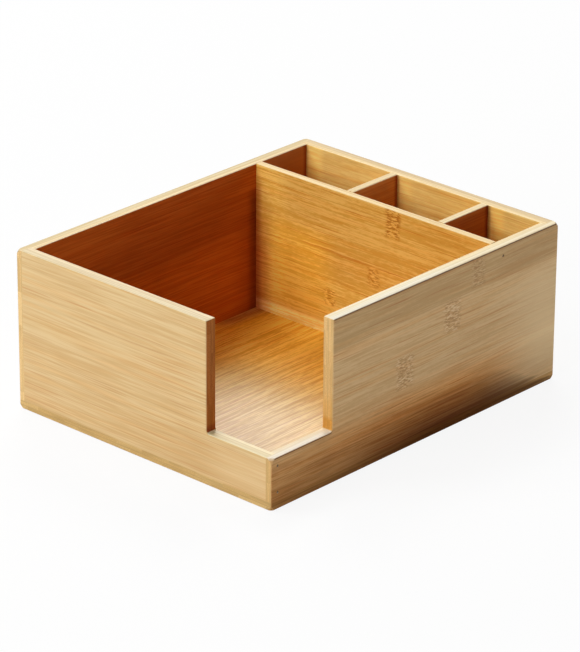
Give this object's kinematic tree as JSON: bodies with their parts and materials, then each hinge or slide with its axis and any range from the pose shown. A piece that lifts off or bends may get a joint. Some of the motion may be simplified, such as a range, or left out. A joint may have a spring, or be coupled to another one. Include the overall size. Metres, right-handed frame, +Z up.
{
  "type": "desk organizer",
  "caption": "Open-topped bamboo desk organizer: a square note tray whose front corner is cut down to a low rail, with small open compartments behind it.",
  "frame": {"origin": "middle of the underside of the base panel, on the surface the organizer stands on", "axes": "+Z up; +Y from the front wall to the rear wall; +X to the right, so the low corner is at +X, -Y"},
  "size_m": [0.165, 0.203, 0.0825],
  "materials": {
    "bamboo": "satin lacquer over laminated bamboo strips",
    "brad_steel": "dull wire"
  },
  "bodies": {
    "root": {"base_panel": "bamboo", "front_wall": "bamboo", "rear_wall": "bamboo", "left_wall": "bamboo", "right_wall": "bamboo", "long_divider": "bamboo", "short_divider_left": "bamboo", "short_divider_right": "bamboo", "brads": "brad_steel"}
  },
  "joints": []
}
